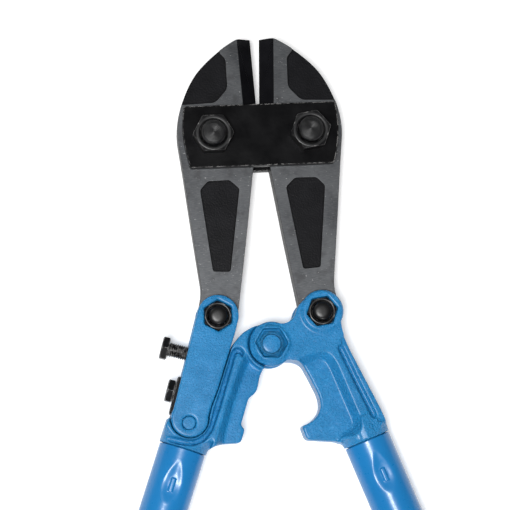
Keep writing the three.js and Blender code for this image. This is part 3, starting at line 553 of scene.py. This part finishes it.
# ------------------------------------------------------------------ lever bolts and nuts
# Three smaller bolts in hexagonal recesses. The centre bolt is coated with the levers; the two
# tail bolts are fitted afterwards and stay black.
LEVER_NUT_FLATS = 0.018
CENTRE_NUT_FLATS = 0.0168
CENTRE_RING = (0.0081, 0.0009)
CENTRE_HEAD_TALL = 0.0037
CENTRE_DOME = 0.0006
TAIL_HEAD_TALL = 0.0044
TAIL_DOME = 0.0022
LEVER_BOLT_RADIUS = 0.0064
for node, flats, turn, head_tall, dome, ring, body, slot, finish in (
    ("centre", CENTRE_NUT_FLATS, -3.0, CENTRE_HEAD_TALL, CENTRE_DOME, CENTRE_RING,
     "right_lever", "blue_forging", blue_skin),
    ("right_tail", LEVER_NUT_FLATS, 8.0, TAIL_HEAD_TALL, TAIL_DOME, None,
     "right_lever", "black_steel", bolt_black),
    ("left_tail", LEVER_NUT_FLATS, 30.0, TAIL_HEAD_TALL, TAIL_DOME, None,
     "link", "black_steel", bolt_black),
):
    bolt = domed_bolt(f"{node}_bolt_steel", f"{node}_bolt", flats, turn,
                      LEVER_BOLT_RADIUS, head_tall, dome)
    install(bolt, body, slot, finish, f"{node}_bolt")
    nut = hexagonal_nut(f"{node}_nut_steel", f"{node}_nut", flats, turn,
                        LEVER_BOLT_RADIUS + NUT_PLAY, ring)
    install(nut, body, slot, finish, f"{node}_nut")


# ------------------------------------------------------------------ screws and lock plate
# Two black hexagonal screws lie square to the link's edge. The upper one is threaded all the way
# and pushes the link off the lever; the lower one clamps a small plate that stops it turning.
SCREW_RADIUS = 0.005
SCREW_HEAD_FLATS = 0.015
SCREW_HEAD_TALL = 0.005
SCREW_PITCH = 0.0015
THREAD_DEPTH = 0.00085
THREAD_STEPS = 40
SCREW_TURNED_OFF = 0.94
SCREW_WASHER_FACE = 0.92
SCREW_WASHER_TALL = 0.0004
LINK_HUB_RADIUS = 0.0142
screw_turn = math.radians(-16.5)
link_down = Vector((math.sin(screw_turn), -math.cos(screw_turn), 0.0))
link_across = Vector((math.cos(screw_turn), math.sin(screw_turn), 0.0))
left_tail = middle_of("left_tail_bolt")
left_tail.z = hub.z
link_edge = left_tail + Vector((0.0002 - LINK_HUB_RADIUS, 0.002, 0.0))


def along_screw(down, start):
    """The place and turn that lay a shape made up the Z axis along a screw, from start inwards."""
    place = link_edge + link_down * down + link_across * start
    across = Vector((0.0, 0.0, 1.0)).cross(link_across)
    turn = Matrix((Vector((0.0, 0.0, 1.0)), across * -1.0, link_across)).transposed().to_4x4()
    return Matrix.Translation(place) @ turn


def threaded_rod(bm, start, end):
    """A screw thread up Z: one zigzag line spun and lifted a pitch a turn, then trimmed."""
    turns = math.ceil((end - start) / SCREW_PITCH) + 3
    base = start - 1.5 * SCREW_PITCH
    points = []
    for count in range(turns):
        height = base + count * SCREW_PITCH
        for share, radius in ((0.0, SCREW_RADIUS), (0.12, SCREW_RADIUS),
                              (0.5, SCREW_RADIUS - THREAD_DEPTH),
                              (0.62, SCREW_RADIUS - THREAD_DEPTH)):
            points.append(bm.verts.new((radius, 0.0, height + share * SCREW_PITCH)))
    line = [bm.edges.new(pair) for pair in zip(points, points[1:])]
    bmesh.ops.spin(bm, geom=points + line, cent=(0, 0, 0), axis=(0, 0, 1),
                   dvec=(0, 0, SCREW_PITCH / THREAD_STEPS), angle=math.tau,
                   steps=THREAD_STEPS, use_merge=False, use_normal_flip=False)
    bmesh.ops.remove_doubles(bm, verts=bm.verts, dist=MERGE * 5)
    for height, keep_up in ((start, True), (end, False)):
        normal = (0, 0, -1) if keep_up else (0, 0, 1)
        bmesh.ops.bisect_plane(bm, geom=bm.verts[:] + bm.edges[:] + bm.faces[:], dist=1e-7,
                               plane_co=(0, 0, height), plane_no=normal, clear_outer=True)
        rim = [e for e in bm.edges if e.is_boundary and abs(e.verts[0].co.z - height) < 1e-6
               and abs(e.verts[1].co.z - height) < 1e-6]
        bmesh.ops.contextual_create(bm, geom=rim)


def hexagonal_screw(name, down, head_start, tip):
    """A hexagonal head with a washer face, and a threaded shank to its tip."""
    bm = bmesh.new()
    head_end = head_start + SCREW_HEAD_TALL
    threaded_rod(bm, head_end - 0.0006, tip)
    rod = bpy.data.meshes.new("rod")
    bm.to_mesh(rod)
    bm.free()
    half = SCREW_HEAD_FLATS / 2
    bm = spun([
        (0.0, head_start), (half * SCREW_TURNED_OFF, head_start), (half, head_start),
        (half, head_end - SCREW_WASHER_TALL),
        (half * SCREW_TURNED_OFF, head_end - SCREW_WASHER_TALL),
        (half * SCREW_WASHER_FACE, head_end), (0.0, head_end),
    ])
    for vert in bm.verts:
        reach = math.hypot(vert.co.x, vert.co.y)
        if reach < half - MERGE:
            continue
        from_flat = math.atan2(vert.co.y, vert.co.x) % math.radians(60) - math.radians(30)
        across = min(half / math.cos(from_flat), half * HEX_CORNER_LIMIT)
        vert.co.x *= across / reach
        vert.co.y *= across / reach
        drop = (across - half * SCREW_TURNED_OFF) * HEX_TOP_SLOPE
        vert.co.z += drop if vert.co.z < head_start + 0.001 else 0.0
    bm.from_mesh(rod)
    bpy.data.meshes.remove(rod)
    bmesh.ops.recalc_face_normals(bm, faces=bm.faces)
    bmesh.ops.transform(bm, matrix=along_screw(down, 0.0), verts=bm.verts)
    screw = piece_from(bm, name)
    screw.data.set_sharp_from_angle(angle=math.radians(40))
    return screw


adjusting_screw = hexagonal_screw("adjusting_screw_steel", down=0.027, head_start=-0.018, tip=0.0262)
install(adjusting_screw, "adjuster", "black_steel", bolt_black, "adjusting_screw")
lock_screw = hexagonal_screw("lock_screw_steel", down=0.0545, head_start=-0.0075, tip=0.022)
install(lock_screw, "left_lever", "black_steel", bolt_black, "lock_screw")
lock_plate = piece_from(cad_copy("lock_plate"), "lock_plate_steel")
rounded(lock_plate, 0.0004)
install(lock_plate, "left_lever", "black_steel", plate_black, "lock_plate")


# ------------------------------------------------------------------ handle tubes
# Drawn steel tube, pushed over each lever's spigot and crimped to it front and back, then given
# a smoother, glossier blue enamel than the forgings.
TUBE_RADIUS = 0.016
TUBE_WALL = 0.0022
HANDLE_SPLAY = math.radians(20.2)
JOINT_X = 0.0632
JOINT_Y = -0.0677
JOINT_GAP = 0.0007
CRIMP_CENTRE = 0.0262
CRIMP_HALF_WIDTH = 0.0082
CRIMP_DEPTH = 0.0016
CRIMP_REACH_DOWN = 0.0135
CRIMP_REACH_UP = 0.0185
CRIMP_NARROWING = 0.45
BAR_WIDTH = 0.0033
BAR_LENGTH = 0.009
BAR_RISE = 0.0009


def along_handle(side):
    """Lays a shape made down the Z axis along the left (-1) or right (1) handle from its joint."""
    upwards = Vector((-side * math.sin(HANDLE_SPLAY), math.cos(HANDLE_SPLAY), 0.0))
    outwards = Vector((side * math.cos(HANDLE_SPLAY), math.sin(HANDLE_SPLAY), 0.0))
    turn = Matrix((outwards, upwards.cross(outwards), upwards)).transposed().to_4x4()
    joint = hub + Vector((side * JOINT_X, JOINT_Y, 0.0))
    return Matrix.Translation(joint) @ turn


def smooth_step(low, high, value):
    """0 up to low, 1 from high, and an even ease between them."""
    share = min(max((value - low) / (high - low), 0.0), 1.0)
    return share * share * (3.0 - 2.0 * share)


def crimp(across, down):
    """How deep the crimp is pressed, at a distance across the tube and down from its centre."""
    half_length = CRIMP_REACH_DOWN if down > 0 else CRIMP_REACH_UP
    width = 1.0 if down > 0 else 1.0 - CRIMP_NARROWING * smooth_step(0.0, half_length, -down)
    reach = math.hypot(across / (CRIMP_HALF_WIDTH * width), down / half_length)
    depth = CRIMP_DEPTH * (1.0 - smooth_step(0.25, 1.0, reach))
    on_bar = 1.0 - smooth_step(BAR_WIDTH / 2 - 0.0003, BAR_WIDTH / 2 + 0.0004, abs(across))
    on_bar *= 1.0 - smooth_step(BAR_LENGTH / 2 - 0.0003, BAR_LENGTH / 2 + 0.0004, abs(down))
    return depth - BAR_RISE * on_bar


def blue_enamel():
    """Smooth blue enamel over drawn tube, with a slight peel and a few dark specks."""
    finish, tree, shader, where = new_finish("blue_enamel", 0.0, 0.36, specular=0.35,
                                             coat=0.12, coat_roughness=0.16)
    peel_skin = noise(tree, where, 380.0, 2.0)
    clouds = noise(tree, where, 22.0, 4.0)
    specks = noise(tree, where, 1500.0, 1.0)
    blue = blend_colours(tree, between(tree, clouds, 0.3, 0.7),
                         (0.007, 0.155, 0.40), (0.010, 0.18, 0.45))
    colour = blend_colours(tree, between(tree, specks, 0.77, 0.8, 0.0, 0.6),
                           blue, (0.01, 0.07, 0.2))
    tree.links.new(colour, shader.inputs["Base Color"])
    tree.links.new(between(tree, peel_skin, 0.3, 0.7, 0.27, 0.36), shader.inputs["Roughness"])
    relief(tree, shader, peel_skin, 0.0001, 0.5)
    return finish


HANDLE_REACH = 0.6168
GRIP_END_WALL = 0.0053
tube_blue = blue_enamel()
bore = TUBE_RADIUS - TUBE_WALL
tube_end = HANDLE_REACH - GRIP_END_WALL
crimp_stations = [0.004 + 0.0005 * count for count in range(90)]
plain_stations = [0.07 + 0.05 * count for count in range(11)]
for side_name, side in (("left", -1), ("right", 1)):
    outside = [(TUBE_RADIUS, -down)
               for down in (JOINT_GAP + 0.0003, *crimp_stations, *plain_stations)]
    bm = spun([
        (TUBE_RADIUS - 0.0003, -JOINT_GAP), *outside, (TUBE_RADIUS, -tube_end), (bore, -tube_end),
        (bore, -JOINT_GAP),
    ], 180)
    for vert in bm.verts:
        radius = math.hypot(vert.co.x, vert.co.y)
        if radius < TUBE_RADIUS - MERGE:
            continue
        angle = math.atan2(vert.co.x, abs(vert.co.y))
        pressed = crimp(angle * TUBE_RADIUS, -vert.co.z - CRIMP_CENTRE)
        vert.co.x *= 1.0 - pressed / radius
        vert.co.y *= 1.0 - pressed / radius
    bmesh.ops.transform(bm, matrix=along_handle(side), verts=bm.verts)
    tube = piece_from(bm, f"{side_name}_handle_tube")
    tube.data.set_sharp_from_angle(angle=math.radians(40))
    install(tube, f"{side_name}_lever", "blue_tube", tube_blue, f"{side_name}_tube")


# ------------------------------------------------------------------ grips
# Moulded black rubber grips, pushed over the tubes' ends: a flared guard towards the head, a
# waist with close rings to hold, and a heavy rounded end.
GRIP_LENGTH = 0.175
GRIP_RADIUS = 0.0195
RING_PITCH = 0.005
RING_COUNT = 22
RING_START = 0.034
GROOVE_DEPTH = 0.0009
GRIP_WAIST = 0.0010
GRIP_STATION = 0.0022
END_ROUND = 0.009
GUARD_NECK = 0.0012
GUARD_FLARE = 0.0020
GUARD_START = 0.019
GRIP_PLAY = 0.0003


def moulded_rubber():
    """Black rubber with a fine matt grain and dusty high spots."""
    finish, tree, shader, where = new_finish("moulded_rubber", 0.0, 0.62)
    grain = noise(tree, where, 1400.0, 3.0)
    dust = noise(tree, where, 60.0, 5.0)
    paler_edges = combine(tree, "MULTIPLY", edges(tree, 0.0012, 0.02, 0.3),
                   between(tree, dust, 0.35, 0.65, 0.2, 0.8))
    black = blend_colours(tree, between(tree, dust, 0.35, 0.7),
                          (0.011, 0.011, 0.012), (0.022, 0.022, 0.023))
    colour = blend_colours(tree, paler_edges, black, (0.06, 0.06, 0.062))
    tree.links.new(colour, shader.inputs["Base Color"])
    tree.links.new(between(tree, dust, 0.3, 0.7, 0.54, 0.7), shader.inputs["Roughness"])
    relief(tree, shader, grain, 0.00012, 0.6)
    return finish


rubber = moulded_rubber()
grip_top = HANDLE_REACH - GRIP_LENGTH
grip_bore = TUBE_RADIUS + GRIP_PLAY
for side_name, side in (("left", -1), ("right", 1)):
    end_round = [(GRIP_RADIUS * math.sin(math.radians(a)),
                  -HANDLE_REACH + END_ROUND * (1 - math.cos(math.radians(a))))
                 for a in range(0, 90, 10)]
    swell = [(GRIP_RADIUS - GRIP_WAIST * smooth_step(0, 8, count),
              -HANDLE_REACH + END_ROUND + GRIP_STATION * count)
             for count in range(9)]
    rings = []
    ring_start = -HANDLE_REACH + RING_START
    for count in range(RING_COUNT * 8):
        height = count * RING_PITCH / 8
        groove = max(0.0, math.sin(math.tau * height / RING_PITCH)) ** 2
        rings.append((GRIP_RADIUS - GRIP_WAIST - GROOVE_DEPTH * groove, ring_start + height))
    guard = [(GRIP_RADIUS - GUARD_NECK + GUARD_FLARE * smooth_step(0.0, 1.0, count / 6),
              -grip_top - GUARD_START + GRIP_STATION * count)
             for count in range(7)]
    rim = [(GRIP_RADIUS + 0.0008, -grip_top - 0.0022), (GRIP_RADIUS - 0.0002, -grip_top - 0.0006),
           (GRIP_RADIUS - 0.0016, -grip_top)]
    inside = [(grip_bore, -grip_top), (grip_bore, -tube_end - 0.0003), (0.0, -tube_end - 0.0003)]
    bm = spun([*end_round, *swell, *rings, *guard, *rim, *inside], 72)
    bmesh.ops.transform(bm, matrix=along_handle(side), verts=bm.verts)
    grip = piece_from(bm, f"{side_name}_rubber_grip")
    grip.data.set_sharp_from_angle(angle=math.radians(50))
    install(grip, f"{side_name}_lever", "grip", rubber, f"{side_name}_grip")
